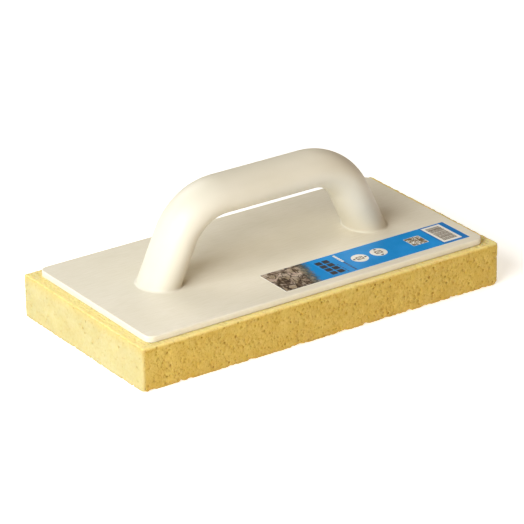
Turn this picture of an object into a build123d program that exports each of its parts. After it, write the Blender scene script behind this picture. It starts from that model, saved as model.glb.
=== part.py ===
"""Sponge grout float: a foam pad glued under a plastic backing plate, with a bowed tubular handle
screwed on from the plate's hidden underside, and a printed label on the plate.

Millimetres. The origin is the centre of the pad's working face, +X runs along the pad, +Z is up.
"""
import os
from math import cos, radians, sin, tan

from build123d import *

os.makedirs("parts", exist_ok=True)

# Foam pad
pad_length = 280.0
pad_width = 142.0
pad_height = 30.0
pad_corner_radius = 1.2
pad_edge_radius = 0.8

# Backing plate, glued on slightly off the pad's centre
plate_end_margin = 7.95
plate_side_margin = 5.55
plate_thickness = 4.3
plate_corner_radius = 5.5
plate_top_radius = 0.6
plate_bottom_radius = 0.3
assembly_shift_x = -0.4
assembly_shift_y = -1.05
glue_thickness = 0.2
glue_inset = 1.5

# Handle tube, oval in section
grip_height = 85.1
foot_half_spacing = 81.8
leg_angle = 65.0
bend_radius = 37.3
tube_half_width = 12.5
tube_half_depth = 16.6
tube_wall = 2.5
foot_recess_depth = 0.6
foot_clearance = 0.1
foot_trim = 1.0

# Foot plugs, bonded into the tube's ends
plug_height = 20.0
plug_clearance = 0.1
plug_top_chamfer = 0.8

# Fasteners
screw_inset = 3.4
thread_radius = 2.0
core_radius = 1.4
pilot_radius = 1.7
screw_length = 16.0
thread_pitch = 1.4
tip_length = 2.4
tip_radius = 0.3
pilot_end_gap = 1.0
head_radius = 4.0
head_height = 1.3
head_edge_radius = 0.5
head_sink = 0.1
drive_slot_length = 4.2
drive_slot_width = 1.0
drive_slot_depth = 0.9
washer_radius = 6.0
washer_thickness = 0.6
washer_bore_clearance = 0.2
hole_clearance = 0.3
counterbore_clearance = 0.4

# Label
label_length = 148.4
label_width = 30.8
label_thickness = 0.12
label_end_gap = 6.9
label_front_gap = 5.9
label_corner_radius = 1.0

# Levels and places that follow from the sizes above
plate_length = pad_length - 2 * plate_end_margin
plate_width = pad_width - 2 * plate_side_margin
plate_bottom = pad_height + glue_thickness
plate_top = plate_bottom + plate_thickness
foot_level = plate_top - foot_recess_depth
washer_seat = plate_bottom + head_sink + head_height + washer_thickness
head_seat = washer_seat - washer_thickness
counterbore_radius = washer_radius + counterbore_clearance
hole_radius = thread_radius + hole_clearance

assembly_centre = (assembly_shift_x, assembly_shift_y)
handle_plane = Plane(origin=(assembly_shift_x, assembly_shift_y, 0), x_dir=(1, 0, 0), z_dir=(0, -1, 0))
lean = 1 / tan(radians(leg_angle))
corner_half_spacing = foot_half_spacing - (grip_height - plate_top) * lean
foot_stretch = 1 / sin(radians(leg_angle))
tube_start = foot_level - tube_half_width * cos(radians(leg_angle)) - foot_trim

sides = {"left": -1, "right": 1}


def leg_half_spacing(level):
    """Half the distance between the two leg centrelines at a level."""
    return foot_half_spacing - (level - plate_top) * lean


def foot_centre(side, level):
    """Centre of one leg's horizontal section, in plan."""
    return (assembly_shift_x + side * leg_half_spacing(level), assembly_shift_y)


def leg_direction(side):
    """Direction of one leg, going up from its foot."""
    return Vector(-side * lean, 0, 1)


def screw_centre(side):
    """Axis of one vertical screw, set in from the foot's centre so that it stays inside the leaning plug."""
    return (assembly_shift_x + side * (foot_half_spacing - screw_inset), assembly_shift_y)


screw_centres = [screw_centre(side) for side in sides.values()]


# The foam pad is one plain block with softly rounded edges.
with BuildPart() as sponge_pad:
    with BuildSketch() as pad_outline:
        RectangleRounded(pad_length, pad_width, pad_corner_radius)
    extrude(amount=pad_height)
    fillet(sponge_pad.faces().filter_by(Axis.Z).edges(), pad_edge_radius)

sponge_pad.part.label = "sponge_pad"
export_step(sponge_pad.part, "parts/sponge_pad.step")


# The glue film stops short of the plate's edge and leaves the screw recesses open.
with BuildPart() as adhesive_film:
    with BuildSketch(Plane.XY.offset(pad_height)) as film_outline:
        with Locations(assembly_centre):
            Rectangle(plate_length - 2 * glue_inset, plate_width - 2 * glue_inset)
        with Locations(*screw_centres):
            Circle(counterbore_radius, mode=Mode.SUBTRACT)
    extrude(amount=glue_thickness)

adhesive_film.part.label = "adhesive_film"
export_step(adhesive_film.part, "parts/adhesive_film.step")


# The backing plate has a counterbored screw hole under each foot and a shallow oval seat above it.
with BuildPart() as backing_plate:
    with BuildSketch(Plane.XY.offset(plate_bottom)) as plate_outline:
        with Locations(assembly_centre):
            RectangleRounded(plate_length, plate_width, plate_corner_radius)
    extrude(amount=plate_thickness)
    fillet(backing_plate.faces().sort_by(Axis.Z)[-1].edges(), plate_top_radius)
    fillet(backing_plate.faces().sort_by(Axis.Z)[0].edges(), plate_bottom_radius)
    for side in sides.values():
        with BuildSketch(Plane.XY.offset(foot_level)) as foot_seat:
            with Locations(foot_centre(side, foot_level)):
                Ellipse(
                    (tube_half_width + foot_clearance) * foot_stretch,
                    tube_half_depth + foot_clearance,
                )
        extrude(amount=2 * foot_recess_depth * foot_stretch, dir=leg_direction(side), mode=Mode.SUBTRACT)
    with BuildSketch(Plane.XY.offset(plate_bottom)) as counterbores:
        with Locations(*screw_centres):
            Circle(counterbore_radius)
    extrude(amount=washer_seat - plate_bottom, mode=Mode.SUBTRACT)
    with BuildSketch(Plane.XY.offset(plate_bottom)) as screw_holes:
        with Locations(*screw_centres):
            Circle(hole_radius)
    extrude(amount=plate_thickness, mode=Mode.SUBTRACT)

backing_plate.part.label = "backing_plate"
export_step(backing_plate.part, "parts/backing_plate.step")


# The handle is a hollow oval tube bent at two corners. It runs past its seats, then its ends are cut level.
with BuildPart() as handle_tube:
    with BuildLine(handle_plane) as handle_line:
        FilletPolyline(
            (-leg_half_spacing(tube_start), tube_start),
            (-corner_half_spacing, grip_height),
            (corner_half_spacing, grip_height),
            (leg_half_spacing(tube_start), tube_start),
            radius=bend_radius,
        )
    with BuildSketch(Plane(origin=handle_line.line @ 0, x_dir=(0, 1, 0), z_dir=handle_line.line % 0)) as section:
        Ellipse(tube_half_depth, tube_half_width)
        Ellipse(tube_half_depth - tube_wall, tube_half_width - tube_wall, mode=Mode.SUBTRACT)
    sweep()
    split(bisect_by=Plane.XY.offset(foot_level), keep=Keep.TOP)

handle_tube.part.label = "handle_tube"
export_step(handle_tube.part, "parts/handle_tube.step")


# A solid plug fills each end of the tube and gives its screw something to bite in.
for side_name, side in sides.items():
    with BuildPart() as foot_plug:
        with BuildSketch(Plane.XY.offset(foot_level)) as plug_outline:
            with Locations(foot_centre(side, foot_level)):
                Ellipse(
                    (tube_half_width - tube_wall - plug_clearance) * foot_stretch,
                    tube_half_depth - tube_wall - plug_clearance,
                )
        extrude(amount=plug_height * foot_stretch, dir=leg_direction(side))
        chamfer(foot_plug.faces().sort_by(Axis.Z)[-1].edges(), plug_top_chamfer)
        with BuildSketch(Plane.XY.offset(foot_level)) as pilot:
            with Locations(screw_centre(side)):
                Circle(pilot_radius)
        extrude(amount=head_seat + screw_length + pilot_end_gap - foot_level, mode=Mode.SUBTRACT)
    foot_plug.part.label = f"foot_plug_{side_name}"
    export_step(foot_plug.part, f"parts/foot_plug_{side_name}.step")


# Each washer sits at the bottom of its counterbore, and the screw's head bears on it from below.
for side_name, side in sides.items():
    with BuildPart() as washer:
        with BuildSketch(Plane.XY.offset(head_seat)) as washer_outline:
            with Locations(screw_centre(side)):
                Circle(washer_radius)
                Circle(thread_radius + washer_bore_clearance, mode=Mode.SUBTRACT)
        extrude(amount=washer_thickness)
    washer.part.label = f"washer_{side_name}"
    export_step(washer.part, f"parts/washer_{side_name}.step")


# The self-tapping screws are turned profiles with a ring for each turn of the thread.
thread_start = foot_level - head_seat + thread_pitch
thread_turns = int((screw_length - tip_length - thread_start) / thread_pitch)

screw_profile = [(0, -head_height), (head_radius, -head_height), (head_radius, 0), (core_radius, 0)]
for turn in range(thread_turns):
    ring_start = thread_start + turn * thread_pitch
    screw_profile += [
        (core_radius, ring_start),
        (thread_radius, ring_start + 0.4 * thread_pitch),
        (core_radius, ring_start + 0.8 * thread_pitch),
    ]
screw_profile += [
    (core_radius, screw_length - tip_length),
    (tip_radius, screw_length),
    (0, screw_length),
]

for side_name, side in sides.items():
    screw_plane = Plane(origin=(*screw_centre(side), head_seat), x_dir=(1, 0, 0), z_dir=(0, -1, 0))
    head_plane = Plane(origin=(*screw_centre(side), head_seat - head_height))
    with BuildPart() as screw:
        with BuildSketch(screw_plane) as turned_half:
            with BuildLine() as turned_outline:
                Polyline(*screw_profile, close=True)
            make_face()
        revolve(axis=Axis(screw_plane.origin, (0, 0, 1)))
        fillet(screw.faces().sort_by(Axis.Z)[0].edges(), head_edge_radius)
        with BuildSketch(head_plane) as drive_cross:
            Rectangle(drive_slot_length, drive_slot_width)
            Rectangle(drive_slot_width, drive_slot_length)
        extrude(amount=drive_slot_depth, mode=Mode.SUBTRACT)
    screw.part.label = f"screw_{side_name}"
    export_step(screw.part, f"parts/screw_{side_name}.step")


# The label lies on the plate in front of the right foot, close to the plate's right end.
label_centre = (
    assembly_shift_x + plate_length / 2 - label_end_gap - label_length / 2,
    assembly_shift_y - plate_width / 2 + label_front_gap + label_width / 2,
)

with BuildPart() as label:
    with BuildSketch(Plane.XY.offset(plate_top)) as label_outline:
        with Locations(label_centre):
            RectangleRounded(label_length, label_width, label_corner_radius)
    extrude(amount=label_thickness)

label.part.label = "label"
export_step(label.part, "parts/label.step")
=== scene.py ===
"""The looks of a sponge grout float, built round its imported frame. Metres, in the frame's own axes."""
import math
import random
from collections import defaultdict

import bmesh
import bpy
import numpy as np
from mathutils import Matrix, Vector, geometry, noise


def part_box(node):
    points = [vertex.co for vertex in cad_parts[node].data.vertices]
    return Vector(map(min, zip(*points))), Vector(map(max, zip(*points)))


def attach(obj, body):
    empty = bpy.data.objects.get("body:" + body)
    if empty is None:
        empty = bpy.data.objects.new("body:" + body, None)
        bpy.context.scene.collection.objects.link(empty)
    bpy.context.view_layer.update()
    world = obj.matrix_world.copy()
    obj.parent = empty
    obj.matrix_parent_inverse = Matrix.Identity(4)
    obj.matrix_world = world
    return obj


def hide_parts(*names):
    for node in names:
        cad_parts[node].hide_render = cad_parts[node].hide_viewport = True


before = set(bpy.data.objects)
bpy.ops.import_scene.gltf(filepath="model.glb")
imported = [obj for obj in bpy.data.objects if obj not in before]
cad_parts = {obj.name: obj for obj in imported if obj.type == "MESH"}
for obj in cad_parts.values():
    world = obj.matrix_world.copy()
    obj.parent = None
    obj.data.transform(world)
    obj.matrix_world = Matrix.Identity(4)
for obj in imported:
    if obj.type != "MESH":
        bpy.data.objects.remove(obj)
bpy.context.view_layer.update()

MM = 0.001


# ---------------------------------------------------------------- material helpers

def srgb(red, green, blue):
    """A display colour, 0 to 255, as linear RGBA."""
    linear = [c / 255 / 12.92 if c <= 10 else ((c / 255 + 0.055) / 1.055) ** 2.4 for c in (red, green, blue)]
    return (*linear, 1.0)


class Graph:
    """One material's nodes, round a single Principled shader. The Mix node's colour sockets go by number."""
    COLOUR_A, COLOUR_B, COLOUR_OUT = 6, 7, 2

    def __init__(self, name):
        self.material = bpy.data.materials.new(name)
        self.material.use_nodes = True
        self.tree = self.material.node_tree
        self.tree.nodes.clear()
        self.shader = self.tree.nodes.new("ShaderNodeBsdfPrincipled")
        output = self.tree.nodes.new("ShaderNodeOutputMaterial")
        self.tree.links.new(self.shader.outputs[0], output.inputs["Surface"])

    def plug(self, socket, value):
        """Links a socket to another node's output, or sets it to a constant."""
        if isinstance(value, bpy.types.NodeSocket):
            self.tree.links.new(value, socket)
        else:
            socket.default_value = value

    def node(self, kind, inputs=None, **settings):
        """A new node, with its inputs by name and its own settings."""
        made = self.tree.nodes.new(kind)
        for key, value in settings.items():
            setattr(made, key, value)
        for key, value in (inputs or {}).items():
            self.plug(made.inputs[key], value)
        return made

    def set(self, **values):
        """Shader inputs by name, with underscores for spaces."""
        for key, value in values.items():
            self.plug(self.shader.inputs[key.replace("_", " ")], value)

    def place(self, stretch=(1, 1, 1), origin=(0, 0, 0)):
        """Object position in millimetres from an origin, times a stretch."""
        where = self.node("ShaderNodeTexCoord").outputs["Object"]
        scale = tuple(s / MM for s in stretch)
        shift = tuple(-o * s for o, s in zip(origin, stretch))
        return self.node("ShaderNodeMapping", {"Vector": where, "Scale": scale, "Location": shift}).outputs[0]

    def noise(self, where, scale, detail=2.0, roughness=0.5, distortion=0.0):
        inputs = {"Vector": where, "Scale": scale, "Detail": detail, "Roughness": roughness}
        return self.node("ShaderNodeTexNoise", inputs | {"Distortion": distortion}).outputs[0]

    def cells(self, where, scale, feature="F1"):
        return self.node("ShaderNodeTexVoronoi", {"Vector": where, "Scale": scale}, feature=feature)

    def math(self, operation, a, b=0.0):
        made = self.node("ShaderNodeMath", operation=operation)
        self.plug(made.inputs[0], a)
        self.plug(made.inputs[1], b)
        return made.outputs[0]

    def span(self, value, low, high, start=0.0, end=1.0, smooth=False):
        """Maps low..high to start..end, held at both ends."""
        kind = "SMOOTHSTEP" if smooth else "LINEAR"
        inputs = {"Value": value, "From Min": low, "From Max": high, "To Min": start, "To Max": end}
        return self.node("ShaderNodeMapRange", inputs, interpolation_type=kind).outputs[0]

    def blend(self, factor, a, b):
        """Colour a, turning to b as the factor goes from 0 to 1."""
        made = self.node("ShaderNodeMix", data_type="RGBA")
        self.plug(made.inputs[0], factor)
        self.plug(made.inputs[self.COLOUR_A], a)
        self.plug(made.inputs[self.COLOUR_B], b)
        return made.outputs[self.COLOUR_OUT]

    def axis(self, where, name):
        return self.node("ShaderNodeSeparateXYZ", {"Vector": where}).outputs[name]

    def bump(self, height, strength, distance):
        inputs = {"Height": height, "Strength": strength, "Distance": distance}
        return self.node("ShaderNodeBump", inputs).outputs[0]


# ---------------------------------------------------------------- materials

# The foam's colours, and where its zones start and end, in millimetres from the pad's middle and base. The
# pale ends and the crown are painted light; the foot and pore colours are painted shade.
FOAM = {
    "deep": srgb(205, 173, 86),
    "pale": srgb(219, 191, 104),
    "painted_light_end_deep": srgb(191, 178, 126),
    "painted_light_end_pale": srgb(199, 189, 141),
    "painted_light_crown": srgb(244, 223, 148),
    "foot": srgb(150, 122, 66),
    "grain": srgb(184, 147, 62),
    "spot": srgb(170, 129, 48),
    "pore": srgb(172, 126, 36),
}
PALE_START, PALE_END = 137.0, 140.6
PALE_TOP_FADE = (23.0, 30.0)
CROWN_START, CROWN_START_AT_ENDS, CROWN_END = 27.8, 29.4, 30.15
FOOT_TOP = 2.2


def foam_material():
    """Open-cell hydro foam, golden with fine cells. Ends are paler and the top edge lighter, as painted
    light; the foot and the pore hollows are darker, as painted shade.
    """
    g = Graph("hydro_foam")
    where = g.place()
    pore = g.node("ShaderNodeAttribute", attribute_name="pore").outputs["Fac"]
    # Painted light: the end faces and their corners turn paler and less textured, as a brightly lit face
    # looks; this paleness weakens towards the top.
    end = g.span(g.math("ABSOLUTE", g.axis(where, "X")), PALE_START, PALE_END, smooth=True)
    end = g.math("MULTIPLY", end, g.span(g.axis(where, "Z"), *PALE_TOP_FADE, 1.0, 0.6))
    texture = g.math("SUBTRACT", 1.0, g.math("MULTIPLY", end, 0.6))

    mottle = g.span(g.noise(where, 0.07, 3.0, 0.6), 0.3, 0.7)
    golden = g.blend(mottle, FOAM["deep"], FOAM["pale"])
    base = g.blend(end, golden, g.blend(mottle, FOAM["painted_light_end_deep"], FOAM["painted_light_end_pale"]))
    # Painted light: the top edge and the top face turn to the paler crown colour and lose texture, as upward
    # faces catch the light.
    crown_start = g.span(end, 0.0, 0.6, CROWN_START, CROWN_START_AT_ENDS)
    painted_light_crown = g.span(g.axis(where, "Z"), crown_start, CROWN_END, smooth=True)
    base = g.blend(painted_light_crown, base, FOAM["painted_light_crown"])
    texture = g.math("MULTIPLY", texture, g.math("SUBTRACT", 1.0, g.math("MULTIPLY", painted_light_crown, 0.75)))
    grain = g.noise(g.place(stretch=(1.0, 1.0, 0.55)), 0.8, 4.0, 0.65)
    base = g.blend(g.math("MULTIPLY", g.span(grain, 0.4, 0.68, 0.0, 0.46), texture), base, FOAM["grain"])

    fine = g.cells(g.place(stretch=(1.0, 1.0, 0.65)), 0.85)
    chosen = g.span(g.axis(fine.outputs["Color"], "X"), 0.4, 0.5)
    spot = g.math("MULTIPLY", g.span(fine.outputs["Distance"], 0.1, 0.38, 1.0, 0.0), chosen)
    base = g.blend(g.math("MULTIPLY", g.math("MULTIPLY", spot, 0.42), texture), base, FOAM["spot"])
    # Painted shade: the pore hollows darken with their depth.
    base = g.blend(g.math("MULTIPLY", g.span(pore, 0.1, 1.0, 0.0, 0.7), texture), base, FOAM["pore"])

    # Painted shade: darker along the bottom edge, where the pad meets the floor.
    base = g.blend(g.span(g.axis(where, "Z"), 0.0, FOOT_TOP, 0.6, 0.0), base, FOAM["foot"])

    cells = g.cells(where, 2.2, "SMOOTH_F1").outputs["Distance"]
    height = g.math("ADD", g.math("MULTIPLY", cells, 0.35), g.math("MULTIPLY", grain, 0.5))
    height = g.math("SUBTRACT", height, g.math("MULTIPLY", spot, 0.9))
    g.set(
        Base_Color=base,
        Roughness=0.95,
        Specular_IOR_Level=0.12,
        Subsurface_Weight=0.8,
        Subsurface_Radius=(1.0, 0.75, 0.35),
        Subsurface_Scale=0.003,
        Normal=g.bump(height, g.math("MULTIPLY", texture, 0.45), 0.0005),
    )
    return g.material


def plate_material():
    """Cream moulded plastic with a fine satin grain drawn along the plate."""
    g = Graph("plate_plastic")
    where = g.place()
    streaks = g.noise(g.place(stretch=(0.08, 1.0, 1.0)), 1.1, 3.0, 0.55)
    grain = g.noise(where, 3.2, 2.0, 0.5)
    cloud = g.noise(where, 0.045, 2.0, 0.5)
    base = g.blend(g.span(cloud, 0.3, 0.7), srgb(237, 229, 208), srgb(242, 234, 215))
    base = g.blend(g.span(streaks, 0.4, 0.68, 0.0, 0.5), base, srgb(228, 219, 194))
    height = g.math("ADD", g.math("MULTIPLY", streaks, 0.7), g.math("MULTIPLY", grain, 0.3))
    g.set(
        Base_Color=base,
        Roughness=g.span(grain, 0.3, 0.7, 0.46, 0.56),
        Specular_IOR_Level=0.4,
        Normal=g.bump(height, 0.12, 0.0002),
    )
    return g.material


def handle_material():
    """Cream moulded plastic, smoother than the plate, with faint flow marks."""
    g = Graph("handle_plastic")
    where = g.place()
    cloud = g.noise(where, 0.03, 2.0, 0.5)
    flow = g.noise(g.place(stretch=(0.25, 1.0, 1.0)), 0.5, 3.0, 0.5)
    grain = g.noise(where, 4.0, 2.0, 0.5)
    base = g.blend(g.span(cloud, 0.3, 0.7), srgb(228, 220, 198), srgb(234, 226, 206))
    g.set(
        Base_Color=base,
        Roughness=g.span(flow, 0.3, 0.7, 0.36, 0.44),
        Specular_IOR_Level=0.45,
        Normal=g.bump(g.math("ADD", flow, g.math("MULTIPLY", grain, 0.15)), 0.05, 0.0003),
    )
    return g.material


def plug_material():
    """Natural plastic of the hidden inserts, dull, with faint speckle."""
    g = Graph("plug_plastic")
    speckle = g.noise(g.place(), 1.6, 3.0, 0.6)
    base = g.blend(g.span(speckle, 0.4, 0.7), srgb(222, 212, 188), srgb(206, 195, 168))
    g.set(Base_Color=base, Roughness=0.6, Normal=g.bump(speckle, 0.08, 0.0002))
    return g.material


def glue_material():
    """Contact adhesive: amber, uneven, a little shiny."""
    g = Graph("contact_glue")
    where = g.place()
    lumps = g.noise(where, 0.5, 4.0, 0.6)
    base = g.blend(g.span(lumps, 0.35, 0.65), srgb(168, 132, 66), srgb(196, 162, 92))
    g.set(Base_Color=base, Roughness=g.span(lumps, 0.3, 0.7, 0.35, 0.6), Normal=g.bump(lumps, 0.3, 0.0004))
    return g.material


def steel_material():
    """Bright zinc-plated steel, with turning marks and a cloudy plate."""
    g = Graph("zinc_steel")
    where = g.place()
    rings = g.noise(g.place(stretch=(1.0, 1.0, 6.0)), 2.5, 3.0, 0.6)
    cloud = g.noise(where, 0.8, 2.0, 0.5)
    base = g.blend(g.span(cloud, 0.3, 0.7), srgb(196, 198, 202), srgb(216, 216, 214))
    g.set(
        Base_Color=base,
        Metallic=1.0,
        Roughness=g.span(rings, 0.3, 0.7, 0.22, 0.38),
        Normal=g.bump(rings, 0.1, 0.0001),
    )
    return g.material


# ---------------------------------------------------------------- the foam pad

PAD_CORNER = 1.2
PAD_EDGE = 0.8
PAD_LOW, PAD_HIGH = (np.array(corner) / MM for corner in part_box("sponge_pad"))
PAD_HALF = (PAD_HIGH - PAD_LOW)[:2] / 2
PAD_HEIGHT = (PAD_HIGH - PAD_LOW)[2]
CORE_HALF = PAD_HALF - PAD_CORNER
ARC_LENGTH = PAD_CORNER * math.pi / 2
STRAIGHTS = [2 * CORE_HALF[0], 2 * CORE_HALF[1]] * 2
SEGMENTS = [length for straight in STRAIGHTS for length in (straight, ARC_LENGTH)]
SEGMENT_STARTS = np.concatenate([[0.0], np.cumsum(SEGMENTS)])
OUTLINE_LENGTH = SEGMENT_STARTS[-1]
END_SEGMENTS = (2, 6)
EDGE_LENGTH = PAD_EDGE * math.pi / 2
BAND_HEIGHT = PAD_HEIGHT - 2 * PAD_EDGE + 2 * EDGE_LENGTH
PORE_SMALLEST, PORE_LARGEST = 0.2, 0.85
PORE_MEDIAN, PORE_SPREAD = 0.36, 0.4
MIDDLING_PORE, BIG_PORE = 0.42, 0.7
BAND_PORES, TOP_PORES, BOTTOM_PORES = 2900, 3000, 1900
PORE_TRIES = 12
SEAM_GAP = 0.4
BAND_ROW = 2.2
PLATE_COVER_INSET = 3
FRAY_REACH, BOTTOM_BITE, TOP_BITE = 2.2, 2.3, 0.8
MERGE_DISTANCE = 1e-4
CUT_TOLERANCE = 1e-5
SPONGE_SEED = 11
# Slow waves of the cut faces and the chewed edges: height or depth, noise scale, and noise seed.
PAD_WAVES = ((0.4, 0.03, 1), (0.22, 0.15, 2))
CHEW_DEPTH, CHEW_SCALE, CHEW_BIAS, CHEW_SEED = 0.7, 0.45, 0.1, 3
FRAY_SCALE, FRAY_BIAS, FRAY_INWARD, FRAY_SEED = 0.33, 0.03, 0.6, 7
# Spacing of the mesh, in millimetres.
BAND_PORE_GAP, CAP_PORE_GAP = 0.16, 0.2
BAND_FILL, CAP_FILL, BOTTOM_FILL, HIDDEN_FILL = (2.3, 2.3), (2.2, 2.2), (2.8, 2.8), (8.0, 8.0)
OUTLINE_STEP, EDGE_STEP = 1.1, 0.95
FILL_INSET, FILL_RISE, CAP_INSET = 0.8, 0.6, 0.9


def outline_places(along):
    """Core points, outward directions and turns into a corner, along the outline from the back right one."""
    corners = CORE_HALF * np.array([(1, 1), (-1, 1), (-1, -1), (1, -1)])
    segment = np.clip(np.searchsorted(SEGMENT_STARTS, along, side="right") - 1, 0, len(SEGMENTS) - 1)
    local = along - SEGMENT_STARTS[segment]
    side, bent = segment // 2, segment % 2 == 1
    heading = math.pi + side * math.pi / 2
    step = np.where(bent, 0.0, local)[:, None] * np.stack([np.cos(heading), np.sin(heading)], -1)
    core = np.where(bent[:, None], corners[(side + 1) % 4], corners[side] + step)
    turn = np.where(bent, local / PAD_CORNER, 0.0)
    facing = heading - math.pi / 2 + turn
    return core, np.stack([np.cos(facing), np.sin(facing)], -1), turn


def ripple(points, scale, seed):
    """Smooth noise at each point, about -0.5 to 0.5."""
    offset = Vector((seed * 17.3, seed * 5.1, seed * 9.7))
    return np.array([noise.noise(Vector(p) * scale + offset) for p in points])


def band_place(flat, depth):
    """Puts (along, up) points on the pad's sides, sunk by a depth, with the cut foam's slight waviness."""
    along, up = flat[:, 0], flat[:, 1]
    core, outward, turn = outline_places(along)
    low = up < EDGE_LENGTH
    high = up > BAND_HEIGHT - EDGE_LENGTH
    tilt = np.where(low, up / PAD_EDGE - math.pi / 2, 0.0)
    tilt = np.where(high, (up - BAND_HEIGHT + EDGE_LENGTH) / PAD_EDGE, tilt)
    level = np.where(low | high, PAD_EDGE + PAD_EDGE * np.sin(tilt), PAD_EDGE + up - EDGE_LENGTH)
    level = np.where(high, PAD_HEIGHT - PAD_EDGE + PAD_EDGE * np.sin(tilt), level)
    reach = PAD_CORNER - PAD_EDGE + PAD_EDGE * np.cos(tilt)
    skin = np.column_stack([core + outward * reach[:, None], level])
    normal = np.column_stack([outward * np.cos(tilt)[:, None], np.sin(tilt)])
    wave = sum(height * ripple(skin, scale, seed) for height, scale, seed in PAD_WAVES)
    worn = np.abs(np.sin(2 * tilt)) + np.abs(np.sin(2 * turn)) * np.cos(tilt)
    chewed = CHEW_DEPTH * np.maximum(ripple(skin, CHEW_SCALE, CHEW_SEED) + CHEW_BIAS, 0)
    moved = skin + normal * (wave * np.cos(tilt) - chewed * worn)[:, None]
    return moved - normal * depth[:, None]


def fray(points):
    """Bites small notches out of the pad's cut bottom and top edges, as knife and wear leave them."""
    places = np.array(points)
    inset = np.min(PAD_HALF - np.abs(places[:, :2]), axis=1)
    inward = -np.sign(places[:, :2]) * (PAD_HALF - np.abs(places[:, :2]) < FRAY_REACH)
    for level, away, bite in ((0.0, 1.0, BOTTOM_BITE), (PAD_HEIGHT, -1.0, TOP_BITE)):
        near = 1.0 - np.hypot(inset, places[:, 2] - level) / FRAY_REACH
        chosen = np.flatnonzero(near > 0)
        rough = np.maximum(ripple(places[chosen], FRAY_SCALE, FRAY_SEED) + FRAY_BIAS, 0)
        notch = bite * near[chosen] * rough
        places[chosen, 2] += away * notch
        places[chosen, :2] += inward[chosen] * FRAY_INWARD * notch[:, None]
    return places.tolist()


def cap_place(level, facing):
    """A placing function for the flat top or bottom."""
    def place(flat, depth):
        return np.column_stack([flat, level - facing * depth])
    return place


class Foam:
    """The pad's mesh while it is built: points, their depth in a pore from 0 to 1, and faces."""

    def __init__(self):
        self.points = []
        self.pore = []
        self.faces = []

    def add_points(self, places, pore):
        first = len(self.points)
        self.points += places.tolist()
        self.pore += [pore] * len(places)
        return list(range(first, first + len(places)))

    def add_faces(self, faces, flip):
        self.faces += [face[::-1] if flip else face for face in faces]


class PoreField:
    """Pores scattered over a flat region so that none touch."""
    cell = 4.0

    def __init__(self, rng, gap):
        self.rng = rng
        self.gap = gap
        self.pores = []
        self.grid = defaultdict(list)

    def key(self, u, v):
        return int(u // self.cell), int(v // self.cell)

    def near(self, u, v):
        column, row = self.key(u, v)
        for i in (-1, 0, 1):
            for j in (-1, 0, 1):
                yield from self.grid[(column + i, row + j)]

    def clear(self, u, v, reach):
        return all(math.hypot(u - p[0], v - p[1]) > reach + p[2] for p in self.near(u, v))

    def scatter(self, count, low, high, allowed):
        """Darts for count pores in a box, large ones first, kept where allowed(u, v, reach) holds."""
        rng = self.rng
        drawn = [rng.lognormvariate(math.log(PORE_MEDIAN), PORE_SPREAD) for _ in range(count)]
        for size in sorted((min(max(size, PORE_SMALLEST), PORE_LARGEST) for size in drawn), reverse=True):
            stretch = rng.uniform(1.0, 1.45)
            reach = size * stretch
            for _ in range(PORE_TRIES):
                u, v = rng.uniform(low[0], high[0]), rng.uniform(low[1], high[1])
                if allowed(u, v, reach) and self.clear(u, v, reach + self.gap):
                    self.pores.append((u, v, reach, size, stretch))
                    self.grid[self.key(u, v)].append((u, v, reach))
                    break

    def rim(self, pore):
        """An uneven oval outline of one pore."""
        u, v, _, size, stretch = pore
        rng = self.rng
        corners = 9 if size > BIG_PORE else 7 if size > MIDDLING_PORE else 5
        lean = rng.uniform(-0.5, 0.5)
        start = rng.uniform(0, math.tau)
        outline = []
        for k in range(corners):
            angle = start + math.tau * (k + rng.uniform(-0.18, 0.18)) / corners
            wide = size * rng.uniform(0.72, 0.98)
            x, y = wide * math.cos(angle), wide * stretch * math.sin(angle)
            across = x * math.cos(lean) - y * math.sin(lean)
            outline.append((u + across, v + x * math.sin(lean) + y * math.cos(lean)))
        return outline


def pocket_rings(size):
    """A pore's wall from its rim down: each ring's scale, its depth over the pore's size, and its shade."""
    if size > BIG_PORE:
        return [(0.9, 0.55, 0.75), (0.62, 1.05, 1.0)]
    return [(0.78, 0.65, 0.8)] if size > MIDDLING_PORE else []


def cut_region(foam, field, border, fill, place, flip=False):
    """Triangulates a region round its pores' rims, then sinks a pocket into every rim."""
    flat = [tuple(p) for p in border] + [tuple(p) for p in fill]
    rims = []
    for pore in field.pores:
        rim = field.rim(pore)
        rims.append(list(range(len(flat), len(flat) + len(rim))))
        flat += rim
    vectors = [Vector(p) for p in flat]
    made, _, faces, sources, _, inside = geometry.delaunay_2d_cdt(vectors, [], rims, 0, CUT_TOLERANCE, True)
    made = np.array([tuple(p) for p in made])
    index = foam.add_points(place(made, np.zeros(len(made))), 0.0)
    foam.add_faces([[index[i] for i in face] for face, within in zip(faces, inside) if not within], flip)
    found = {source: index[i] for i, group in enumerate(sources) for source in group}
    rng = field.rng
    for pore, rim in zip(field.pores, rims):
        centre = np.array(pore[:2])
        size = pore[3]
        outline = np.array([flat[i] for i in rim])
        outer = [found[i] for i in rim]
        for i in outer:
            foam.pore[i] = 0.25
        for scale, sink, shade in pocket_rings(size):
            spread = scale * np.array([rng.uniform(0.9, 1.05) for _ in rim])[:, None]
            places = place(centre + (outline - centre) * spread, np.full(len(rim), sink * size))
            inner = foam.add_points(places, shade)
            wall = [[outer[k - 1], outer[k], inner[k], inner[k - 1]] for k in range(len(rim))]
            foam.add_faces(wall, flip)
            outer = inner
        deepest = (1.3 if size > BIG_PORE else 0.95) * size
        tip = foam.add_points(place(centre[None, :], np.array([deepest])), 1.0)[0]
        foam.add_faces([[outer[k - 1], outer[k], tip] for k in range(len(rim))], flip)


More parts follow.
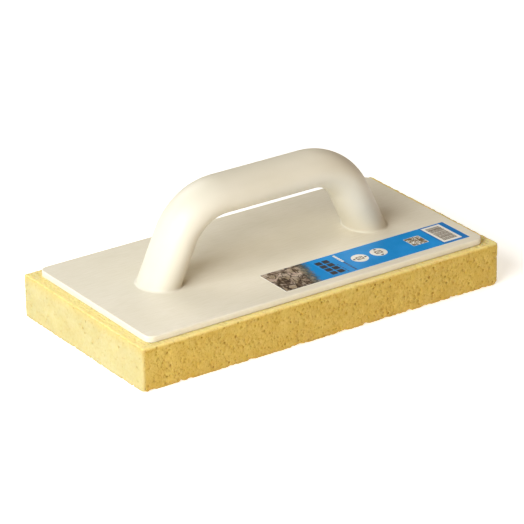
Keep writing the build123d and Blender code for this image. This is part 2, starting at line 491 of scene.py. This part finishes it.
def jittered_grid(rng, low, high, spacing, allowed):
    """Loose grid of points strictly inside a box."""
    columns = max(1, round((high[0] - low[0]) / spacing[0]))
    rows = max(1, round((high[1] - low[1]) / spacing[1]))
    points = []
    for i in range(columns):
        for j in range(rows):
            u = low[0] + (i + 0.5 + rng.uniform(-0.3, 0.3)) * (high[0] - low[0]) / columns
            v = low[1] + (j + 0.5 + rng.uniform(-0.3, 0.3)) * (high[1] - low[1]) / rows
            if allowed(u, v):
                points.append((u, v))
    return points


def foam_band(foam, rng, steps):
    """The pad's four sides, unrolled into one strip with its rounded edges."""
    field = PoreField(rng, BAND_PORE_GAP)

    def on_band(u, v, reach):
        inset = reach + SEAM_GAP
        if not (inset < u < OUTLINE_LENGTH - inset and inset < v < BAND_HEIGHT - inset):
            return False
        crowd = noise.noise(Vector((u, v, 0.0)) * 0.11)
        on_end = any(SEGMENT_STARTS[k] < u < SEGMENT_STARTS[k + 1] for k in END_SEGMENTS)
        return rng.random() < (0.4 if on_end and reach > 0.5 else 0.75) + 0.9 * crowd

    field.scatter(BAND_PORES, (0, 0), (OUTLINE_LENGTH, BAND_HEIGHT), on_band)
    levels = [EDGE_LENGTH * k / 4 for k in range(1, 5)]
    middle = list(np.arange(EDGE_LENGTH + BAND_ROW, BAND_HEIGHT - EDGE_LENGTH - 1.0, BAND_ROW))
    rise = levels + middle + [BAND_HEIGHT - level for level in reversed(levels)]
    border = [(s, v) for s in steps for v in (0.0, BAND_HEIGHT)]
    border += [(s, v) for s in (0.0, OUTLINE_LENGTH) for v in rise]

    def free(u, v):
        return field.clear(u, v, 0.3)

    low = (FILL_INSET, EDGE_LENGTH + FILL_RISE)
    high = (OUTLINE_LENGTH - FILL_INSET, BAND_HEIGHT - EDGE_LENGTH - FILL_RISE)
    fill = jittered_grid(rng, low, high, BAND_FILL, free)
    for level in levels:
        for v in (level, BAND_HEIGHT - level):
            count = int(OUTLINE_LENGTH / EDGE_STEP)
            for k in range(1, count):
                u = OUTLINE_LENGTH * (k + rng.uniform(-0.2, 0.2)) / count
                if free(u, v):
                    fill.append((u, v))
    for start, length in list(zip(SEGMENT_STARTS, SEGMENTS))[1::2]:
        for k in range(6):
            u = start + length * k / 5
            if FILL_INSET < u < OUTLINE_LENGTH - FILL_INSET:
                fill += [(u, v) for v in middle if free(u, v)]
    cut_region(foam, field, border, fill, band_place)


def foam_cap(foam, rng, steps, level, facing, count, hidden):
    """The flat top or bottom. A hidden box, under the backing plate, is left without pores."""
    core, outward, _ = outline_places(steps[:-1])
    border = core + outward * (PAD_CORNER - PAD_EDGE)
    half = CORE_HALF + PAD_CORNER - PAD_EDGE
    field = PoreField(rng, CAP_PORE_GAP)

    def covered(u, v):
        return hidden is not None and hidden[0][0] < u < hidden[1][0] and hidden[0][1] < v < hidden[1][1]

    def on_cap(u, v, reach):
        inset = reach + CAP_INSET
        return abs(u) < half[0] - inset and abs(v) < half[1] - inset and not covered(u, v)

    field.scatter(count, -half, half, on_cap)

    def free(u, v):
        return field.clear(u, v, 0.35)

    def free_and_seen(u, v):
        return free(u, v) and not covered(u, v)

    spacing = BOTTOM_FILL if hidden is None else CAP_FILL
    fill = jittered_grid(rng, -half + FILL_INSET, half - FILL_INSET, spacing, free_and_seen)
    if hidden is not None:
        fill += jittered_grid(rng, hidden[0], hidden[1], HIDDEN_FILL, free)
    cut_region(foam, field, border, fill, cap_place(level, facing), flip=facing < 0)


def outline_steps():
    """Where the sides and the caps share their points."""
    steps = []
    for start, length in zip(SEGMENT_STARTS, SEGMENTS):
        count = 4 if length == ARC_LENGTH else round(length / OUTLINE_STEP)
        steps += [start + length * k / count for k in range(count)]
    return np.array(steps + [OUTLINE_LENGTH])


def build_sponge():
    """The foam pad: its sides, top and bottom, each cut with pores and joined along shared points."""
    rng = random.Random(SPONGE_SEED)
    foam = Foam()
    steps = outline_steps()
    plate_low, plate_high = (np.array(corner)[:2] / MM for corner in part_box("backing_plate"))
    foam_band(foam, rng, steps)
    hidden = (plate_low + PLATE_COVER_INSET, plate_high - PLATE_COVER_INSET)
    foam_cap(foam, rng, steps, PAD_HEIGHT, 1, TOP_PORES, hidden)
    foam_cap(foam, rng, steps, 0.0, -1, BOTTOM_PORES, None)

    mesh = bpy.data.meshes.new("sponge")
    mesh.from_pydata(fray(foam.points), [], foam.faces)
    mesh.attributes.new("pore", "FLOAT", "POINT").data.foreach_set("value", foam.pore)
    shape = bmesh.new()
    shape.from_mesh(mesh)
    bmesh.ops.remove_doubles(shape, verts=shape.verts, dist=MERGE_DISTANCE)
    bmesh.ops.triangulate(shape, faces=[f for f in shape.faces if len(f.verts) > 3])
    for face in shape.faces:
        face.smooth = True
    bmesh.ops.transform(shape, matrix=Matrix.Scale(MM, 4), verts=shape.verts)
    shape.to_mesh(mesh)
    shape.free()
    sponge = bpy.data.objects.new("sponge", mesh)
    bpy.context.collection.objects.link(sponge)
    mesh.materials.append(foam_material())
    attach(sponge, "root")
    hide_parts("sponge_pad")


# ---------------------------------------------------------------- the handle

LEG_ANGLE = math.radians(65.0)
BEND_RADIUS = 37.3
TUBE_HALF_WIDTH, TUBE_HALF_DEPTH, TUBE_WALL = 12.5, 16.6, 2.5
FOOT_BEAD = 1.6
BEAD_SINK = 0.02
ROUND = 72
ROUND_TURNS = np.arange(ROUND) * math.tau / ROUND
BEAD_STEPS = 8
SHARP_ANGLE = math.radians(42)
LEG_UP = np.array([-math.cos(LEG_ANGLE), math.sin(LEG_ANGLE)])
LEG_OUT = np.array([math.sin(LEG_ANGLE), math.cos(LEG_ANGLE)])


class Tube:
    """Rings of one wall of the handle's right half. x and y are from the handle's middle."""

    def __init__(self, half_width, half_depth, foot_half, foot_level, grip_level):
        turn = ROUND_TURNS
        self.across, self.depth = half_width * np.cos(turn), half_depth * np.sin(turn)
        stretched = half_width / math.sin(LEG_ANGLE)
        self.flat_normal = np.stack([np.cos(turn) * half_depth, np.sin(turn) * stretched])
        self.flat_normal /= np.linalg.norm(self.flat_normal, axis=0)
        corner_half = foot_half - (grip_level - foot_level) / math.tan(LEG_ANGLE)
        self.tangent = BEND_RADIUS * math.tan(LEG_ANGLE / 2)
        self.bend_half = corner_half - self.tangent
        self.bend_level = grip_level - BEND_RADIUS
        self.leg_end = np.array([corner_half, grip_level]) - LEG_UP * self.tangent

    def ring(self, centre, out):
        """The tube's oval round a centre, square to its line, with its width along a direction."""
        x, z = centre[0] + out[0] * self.across, centre[1] + out[1] * self.across
        return np.column_stack([x, self.depth, z])

    def level_ring(self, level, spread=0.0):
        """The leg cut level at a height, pushed outwards all round by a spread."""
        ring = self.ring(self.leg_end, LEG_OUT)
        drop = (ring[:, 2] - level) / LEG_UP[1]
        ring[:, 0] -= LEG_UP[0] * drop
        ring[:, 2] = level
        ring[:, 0] += spread * self.flat_normal[0]
        ring[:, 1] += spread * self.flat_normal[1]
        return ring

    def half(self, start_level, leg_rows, bend_rows, grip_rows):
        """Rings from a level cut of the right leg to the middle of the grip."""
        first, last = self.level_ring(start_level), self.ring(self.leg_end, LEG_OUT)
        rings = [first + (last - first) * k / leg_rows for k in range(leg_rows)]
        for k in range(bend_rows + 1):
            angle = math.pi / 2 - LEG_ANGLE + LEG_ANGLE * k / bend_rows
            out = np.array([math.cos(angle), math.sin(angle)])
            rings.append(self.ring(np.array([self.bend_half, self.bend_level]) + BEND_RADIUS * out, out))
        for k in range(1, grip_rows + 1):
            grip = (self.bend_half * (1 - k / grip_rows), self.bend_level + BEND_RADIUS)
            rings.append(self.ring(grip, np.array([0.0, 1.0])))
        return rings


def mirrored(rings):
    """The same rings on the left, from the grip down."""
    return [ring * (-1, 1, 1) for ring in reversed(rings)]


def build_handle(material):
    """One smooth hollow moulding, with the small bead that joins each foot to the plate."""
    low, high = (np.array(corner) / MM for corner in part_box("handle_tube"))
    plate_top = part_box("backing_plate")[1][2] / MM
    foot_level = low[2]
    grip_level = high[2] - TUBE_HALF_WIDTH
    foot_half = (high[0] - low[0]) / 2 - TUBE_HALF_WIDTH / math.sin(LEG_ANGLE)
    outer = Tube(TUBE_HALF_WIDTH, TUBE_HALF_DEPTH, foot_half, foot_level, grip_level)
    inner = Tube(TUBE_HALF_WIDTH - TUBE_WALL, TUBE_HALF_DEPTH - TUBE_WALL, foot_half, foot_level, grip_level)

    bead = []
    for k in range(BEAD_STEPS + 1):
        angle = math.radians(90 * k / BEAD_STEPS)
        level = plate_top - BEAD_SINK + FOOT_BEAD * (1 - math.cos(angle))
        bead.append(outer.level_ring(level, FOOT_BEAD * (1 - math.sin(angle))))
    outside = [outer.level_ring(foot_level), outer.level_ring(plate_top - BEAD_SINK)] + bead
    outside += outer.half(plate_top - BEAD_SINK + FOOT_BEAD, 16, 30, 12)[1:]
    inside = inner.half(foot_level, 8, 18, 4)
    outside += mirrored(outside[:-1])
    inside += mirrored(inside[:-1])
    rings = outside + inside[::-1]

    middle = (low + high) / 2
    points = np.concatenate(rings) + (middle[0], middle[1], 0.0)
    faces = []
    for i in range(len(rings)):
        here, beyond = i * ROUND, (i + 1) % len(rings) * ROUND
        for k in range(ROUND):
            following = (k + 1) % ROUND
            faces.append((here + k, here + following, beyond + following, beyond + k))
    mesh = bpy.data.meshes.new("handle")
    mesh.from_pydata((points * MM).tolist(), [], faces)
    shape = bmesh.new()
    shape.from_mesh(mesh)
    bmesh.ops.recalc_face_normals(shape, faces=shape.faces)
    shape.to_mesh(mesh)
    shape.free()
    mesh.shade_smooth()
    mesh.set_sharp_from_angle(angle=SHARP_ANGLE)
    mesh.materials.append(material)
    handle = bpy.data.objects.new("handle", mesh)
    bpy.context.collection.objects.link(handle)
    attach(handle, "root")
    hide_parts("handle_tube")


# ---------------------------------------------------------------- the printed label

PRINT = {
    "white": srgb(236, 232, 222),
    "blue": srgb(14, 142, 216),
    "deep_blue": srgb(12, 118, 192),
    "ink": srgb(44, 42, 48),
    "soft_ink": srgb(52, 84, 128),
    "taupe": srgb(122, 104, 78),
    "brown": srgb(92, 72, 44),
}
LABEL_BORDER = 0.3
# Places and sizes on the label, in millimetres from its front left corner.
STONE_END, STONE_PIECE_END = 26.0, 38.0
PANEL_START = 127.6
TILE, TILE_JOINT = 4.75, 0.95
DISC_RADIUS, ARROW_REACH, ARROW_SIZE = 5.95, 5.8, 2.0
CODE_MIDDLE, CODE_MODULES, CODE_MODULE, CODE_MARGIN = (115.3, 15.9), 21, 0.56, 0.35
BARS_BOTTOM, BARS_TOP = 5.6, 26.8
DISC_STEPS = 56
LABEL_SEED = 5


def print_material(name, colour):
    """One printed ink under the label's clear satin film, with a little unevenness."""
    g = Graph(f"label_{name}")
    where = g.place()
    cloud = g.noise(where, 0.06, 2.0, 0.5)
    dots = g.noise(where, 3.5, 1.0, 0.5)
    lighter = tuple(min(1.0, c * 1.12 + 0.012) for c in colour[:3]) + (1.0,)
    base = g.blend(g.span(cloud, 0.35, 0.65), colour, lighter)
    base = g.blend(g.span(dots, 0.5, 0.75, 0.0, 0.06), base, PRINT["white"])
    g.set(
        Base_Color=base,
        Roughness=g.span(dots, 0.3, 0.7, 0.34, 0.42),
        Specular_IOR_Level=0.15,
        Normal=g.bump(dots, 0.04, 0.0001),
    )
    return g.material


def stone_material(corner):
    """A printed picture of weathered stone that breaks up into the label's blue."""
    g = Graph("label_stone")
    where = g.place(origin=corner / MM)
    along, across = g.axis(where, "X"), g.axis(where, "Y")
    cloud = g.noise(where, 0.1, 3.0, 0.6)
    grit = g.noise(where, 0.8, 4.0, 0.65)
    base = g.blend(g.span(cloud, 0.38, 0.62), srgb(170, 150, 122), srgb(206, 190, 172))
    warm = g.noise(g.place(origin=(40, 7, 3)), 0.16, 2.0, 0.5)
    base = g.blend(g.span(warm, 0.52, 0.66, 0.0, 0.7), base, srgb(216, 190, 178))
    base = g.blend(g.span(grit, 0.45, 0.68, 0.0, 0.6), base, srgb(128, 110, 82))

    shade = g.noise(g.place(stretch=(1.0, 0.7, 1.0), origin=(11, 23, 5)), 0.17, 3.0, 0.6, 0.8)
    base = g.blend(g.span(shade, 0.5, 0.6, 0.0, 0.9), base, srgb(92, 74, 56))
    veins = g.noise(g.place(stretch=(1.0, 0.6, 1.0), origin=(3, 0, 0)), 0.11, 2.0, 0.55, 1.6)
    ridge = g.math("ABSOLUTE", g.math("SUBTRACT", veins, 0.5))
    crack = g.math("MULTIPLY", g.span(ridge, 0.012, 0.06, 1.0, 0.0), g.span(grit, 0.2, 0.4))
    base = g.blend(crack, base, srgb(58, 42, 32))

    ragged = g.noise(where, 0.35, 4.0, 0.7)
    edge = g.math("SUBTRACT", along, g.math("MULTIPLY", across, 0.22))
    edge = g.math("ADD", edge, g.math("MULTIPLY", g.math("SUBTRACT", ragged, 0.5), 9.0))
    patchy = g.span(ragged, 0.35, 0.6, 0.5, 0.95)
    smudge = g.math("MULTIPLY", g.span(edge, STONE_END - 6, STONE_END - 1), patchy)
    base = g.blend(smudge, base, srgb(66, 84, 86))
    base = g.blend(g.span(edge, STONE_END - 1.0, STONE_END + 4.5, smooth=True), base, PRINT["blue"])
    g.set(Base_Color=base, Roughness=0.38, Specular_IOR_Level=0.15, Normal=g.bump(grit, 0.04, 0.0001))
    return g.material


def block(x, y, width, height, corner=0.0):
    """Outline of a rectangle from its low corner, its own corners rounded if asked."""
    if corner == 0.0:
        return [(x, y), (x + width, y), (x + width, y + height), (x, y + height)]
    outline = []
    for quarter, (cx, cy) in enumerate([(width, 0), (width, height), (0, height), (0, 0)]):
        inner_x = x + (cx - corner if cx else corner)
        inner_y = y + (cy - corner if cy else corner)
        for k in range(5):
            angle = math.radians(-90 + 90 * quarter + 22.5 * k)
            outline.append((inner_x + corner * math.cos(angle), inner_y + corner * math.sin(angle)))
    return outline


def disc(x, y, radius):
    """Outline of a circle."""
    angles = [math.tau * k / DISC_STEPS for k in range(DISC_STEPS)]
    return [(x + radius * math.cos(angle), y + radius * math.sin(angle)) for angle in angles]


def arrow(x, y, direction, size):
    """A small triangle with its tip at a place, pointing along a direction in degrees."""
    a = math.radians(direction)
    ahead, beside = (math.cos(a), math.sin(a)), (-math.sin(a), math.cos(a))
    back = (x - size * ahead[0], y - size * ahead[1])
    half = 0.62 * size
    corners = [(back[0] + side * beside[0], back[1] + side * beside[1]) for side in (half, -half)]
    return [(x, y)] + corners


def label_artwork(length, width, rng):
    """The label's generic printed shapes, an ink's name and an outline in millimetres, later ones on top."""
    art = [("white", block(0, 0, length, width, 1.0))]
    low, tall = LABEL_BORDER, width - 2 * LABEL_BORDER
    art.append(("stone", block(LABEL_BORDER, low, STONE_PIECE_END, tall)))
    art.append(("blue", block(STONE_PIECE_END, low, PANEL_START - STONE_PIECE_END, tall)))
    art.append(("deep_blue", block(PANEL_START, low, length - LABEL_BORDER - PANEL_START, tall)))

    pitch = TILE + TILE_JOINT
    for column in range(2):
        for row in range(4):
            art.append(("ink", block(39.3 + column * pitch, 3.7 + row * pitch, TILE, TILE, 0.7)))
    for k in range(5):
        art.append(("soft_ink", block(50.9, 2.4 + 2.9 * k, 0.8, 2.2, 0.3)))
    for k in range(5):
        art.append(("white", block(55.9, 16.9 + 2.35 * k, 2.0, 1.95, 0.35)))
    for k in range(6):
        art.append(("soft_ink", block(56.0, 2.0 + 2.45 * k, 1.6, 2.0, 0.35)))

    for x, y, turn in ((69.0, 15.1, 0), (84.6, 15.7, 90)):
        art.append(("white", disc(x, y, DISC_RADIUS)))
        for direction in (turn, turn + 180):
            a = math.radians(direction)
            tip = (x + ARROW_REACH * math.cos(a), y + ARROW_REACH * math.sin(a))
            art.append(("ink", arrow(*tip, direction, ARROW_SIZE)))
        art.append(("taupe", block(x - 2.7, y - 2.2, 5.4, 4.4, 0.5)))
        art.append(("white", block(x - 1.8, y - 1.35, 3.6, 2.7, 0.3)))
        art.append(("brown", block(x - 1.2, y - 0.45, 2.4, 0.9, 0.2)))

    side = CODE_MODULES * CODE_MODULE
    left, bottom = (middle - side / 2 for middle in CODE_MIDDLE)
    backing = side + 2 * CODE_MARGIN
    art.append(("white", block(left - CODE_MARGIN, bottom - CODE_MARGIN, backing, backing, 0.3)))
    for row in range(CODE_MODULES):
        column = 0
        while column < CODE_MODULES:
            run = rng.choice((1, 1, 2, 2, 3))
            run = min(run, CODE_MODULES - column)
            if rng.random() < 0.72:
                start = (left + column * CODE_MODULE, bottom + row * CODE_MODULE)
                art.append(("taupe", block(*start, run * CODE_MODULE, CODE_MODULE)))
            column += run

    art.append(("white", block(128.9, 3.0, 15.0, 26.0, 0.3)))
    y = BARS_BOTTOM
    while y < BARS_TOP:
        bar = rng.choice((0.7, 0.9, 1.3))
        art.append(("brown", block(130.9, y, 11.0, min(bar, BARS_TOP - y))))
        y += bar + rng.choice((0.4, 0.5, 0.7))
    return art


def build_label():
    """The label as a thin solid, its top face cut into the printed shapes."""
    low, high = (np.array(corner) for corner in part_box("label"))
    length, width = (high - low)[:2] / MM
    art = label_artwork(length, width, random.Random(LABEL_SEED))
    flat, outlines = [], []
    for _, outline in art:
        outlines.append(list(range(len(flat), len(flat) + len(outline))))
        flat += [Vector(p) for p in outline]
    points, _, faces, _, _, within = geometry.delaunay_2d_cdt(flat, [], outlines, 1, CUT_TOLERANCE, True)
    inks = [print_material(name, colour) for name, colour in PRINT.items()] + [stone_material(low)]
    slots = list(PRINT) + ["stone"]

    shape = bmesh.new()
    top = [shape.verts.new((low[0] + p.x * MM, low[1] + p.y * MM, high[2])) for p in points]
    for face, owners in zip(faces, within):
        made = shape.faces.new([top[i] for i in face])
        made.material_index = slots.index(art[max(owners)][0])
    bmesh.ops.dissolve_degenerate(shape, edges=shape.edges, dist=1e-7)
    raised = bmesh.ops.extrude_face_region(shape, geom=list(shape.faces), use_keep_orig=True)
    lowered = [v for v in raised["geom"] if isinstance(v, bmesh.types.BMVert)]
    for vert in lowered:
        vert.co.z = low[2]
    for face in shape.faces:
        if face.calc_center_median().z < high[2] - 1e-6:
            face.material_index = slots.index("white")
    bmesh.ops.recalc_face_normals(shape, faces=shape.faces)
    mesh = bpy.data.meshes.new("printed_label")
    shape.to_mesh(mesh)
    shape.free()
    for ink in inks:
        mesh.materials.append(ink)
    label = bpy.data.objects.new("printed_label", mesh)
    bpy.context.collection.objects.link(label)
    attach(label, "root")
    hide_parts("label")


# ---------------------------------------------------------------- carried-over CAD nodes

def dress(node, material):
    """Gives a CAD node's surface a new material."""
    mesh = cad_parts[node].data
    mesh.materials.clear()
    mesh.materials.append(material)


# ---------------------------------------------------------------- studio

CAMERA_TARGET = Vector((0.0341, 0.05092, 0.0))
CAMERA_AZIMUTH, CAMERA_ELEVATION, CAMERA_ROLL = -34.43, 24.05, -0.71
CAMERA_DISTANCE = 2.34165
CAMERA_LENS = 238.36
SENSOR_WIDTH = 36.0


def heading(azimuth, elevation):
    """Unit vector from the object towards a place round it. Azimuth 0 is the front, -90 the left end."""
    a, e = math.radians(azimuth), math.radians(elevation)
    return Vector((math.sin(a) * math.cos(e), -math.cos(a) * math.cos(e), math.sin(e)))


def make_camera():
    back = heading(CAMERA_AZIMUTH, CAMERA_ELEVATION)
    turn = back.to_track_quat("Z", "Y").to_matrix().to_4x4()
    roll = Matrix.Rotation(math.radians(CAMERA_ROLL), 4, "Z")
    camera = bpy.data.objects.new("camera", bpy.data.cameras.new("camera"))
    camera.data.lens = CAMERA_LENS
    camera.data.sensor_width = SENSOR_WIDTH
    camera.data.clip_end = 100.0
    camera.matrix_world = Matrix.Translation(CAMERA_TARGET + back * CAMERA_DISTANCE) @ turn @ roll
    bpy.context.collection.objects.link(camera)
    bpy.context.scene.camera = camera


# Each light's azimuth and elevation in degrees, size in metres, colour and watts.
LIGHTS = {
    "back": (180, 35, 0.9, (1.0, 0.98, 0.95), 6.0),
    "back_left_low": (-140, 12, 0.8, (0.65, 0.85, 1.0), 1.5),
    "front": (0, 25, 0.9, (1.0, 0.65, 0.4), 1.0),
    "key_front_left": (-60, 30, 0.8, (0.96, 0.98, 1.0), 18.0),
    "left_low": (-90, 10, 0.8, (0.6, 0.8, 1.0), 2.0),
    "left_high": (-90, 40, 0.8, (0.92, 0.96, 1.0), 11.0),
    "right_low": (60, 30, 0.9, (1.0, 0.65, 0.4), 1.5),
    "right_high": (100, 45, 0.9, (1.0, 0.85, 0.65), 3.0),
}
LIGHT_DISTANCE = 1.6
LIGHT_TARGET = Vector((0.0, 0.0, 0.03))
WORLD_COLOUR = (1.0, 0.8, 0.5)
WORLD_STRENGTH = 0.055
FLOOR_REACH = 20.0
BACKDROP_RADIUS, BACKDROP_HEIGHT, BACKDROP_STEPS = 14.0, 12.0, 96


def make_lights():
    for name, (azimuth, elevation, size, colour, power) in LIGHTS.items():
        light = bpy.data.lights.new(name, "AREA")
        light.shape = "DISK"
        light.size = size
        light.energy = power
        light.color = colour
        lamp = bpy.data.objects.new(name, light)
        towards = heading(azimuth, elevation)
        turn = towards.to_track_quat("Z", "Y").to_matrix().to_4x4()
        lamp.matrix_world = Matrix.Translation(LIGHT_TARGET + towards * LIGHT_DISTANCE) @ turn
        bpy.context.collection.objects.link(lamp)
    world = bpy.data.worlds.new("studio")
    world.use_nodes = True
    background = world.node_tree.nodes["Background"]
    background.inputs["Color"].default_value = (*WORLD_COLOUR, 1.0)
    background.inputs["Strength"].default_value = WORLD_STRENGTH
    bpy.context.scene.world = world


def make_floor():
    mesh = bpy.data.meshes.new("floor")
    corners = [(x * FLOOR_REACH, y * FLOOR_REACH, 0) for x, y in ((-1, -1), (1, -1), (1, 1), (-1, 1))]
    mesh.from_pydata(corners, [], [(0, 1, 2, 3)])
    floor = bpy.data.objects.new("floor", mesh)
    bpy.context.collection.objects.link(floor)
    g = Graph("pale_floor")
    g.set(Base_Color=srgb(250, 250, 250), Roughness=0.9, Specular_IOR_Level=0.1)
    g.set(Emission_Color=(1.0, 0.97, 0.91, 1.0), Emission_Strength=0.51)
    mesh.materials.append(g.material)


def make_backdrop():
    """A pale wall all round, far behind the lights. It neither lights the object nor shades it."""
    steps = np.arange(BACKDROP_STEPS) * math.tau / BACKDROP_STEPS
    ring = np.stack([BACKDROP_RADIUS * np.cos(steps), BACKDROP_RADIUS * np.sin(steps)], -1)
    levels = (0.0, BACKDROP_HEIGHT)
    points = [(x, y, level) for level in levels for x, y in ring]
    count = len(ring)
    faces = [(k, (k + 1) % count, count + (k + 1) % count, count + k) for k in range(count)]
    mesh = bpy.data.meshes.new("backdrop")
    mesh.from_pydata(points, [], faces)
    wall = bpy.data.objects.new("backdrop", mesh)
    bpy.context.collection.objects.link(wall)
    for rays in ("diffuse", "glossy", "transmission", "volume_scatter", "shadow"):
        setattr(wall, f"visible_{rays}", False)
    g = Graph("pale_backdrop")
    g.set(Base_Color=srgb(20, 20, 20), Roughness=1.0, Specular_IOR_Level=0.0)
    g.set(Emission_Color=(1.0, 0.96, 0.92, 1.0), Emission_Strength=0.58)
    mesh.materials.append(g.material)


scene = bpy.context.scene
scene.view_settings.view_transform = "Standard"
scene.view_settings.look = "None"

make_camera()
make_lights()
make_floor()
make_backdrop()
build_sponge()
dress("backing_plate", plate_material())
build_handle(handle_material())
dress("adhesive_film", glue_material())
plugs = plug_material()
steel = steel_material()
for end in ("left", "right"):
    dress(f"foot_plug_{end}", plugs)
    dress(f"screw_{end}", steel)
    dress(f"washer_{end}", steel)
build_label()
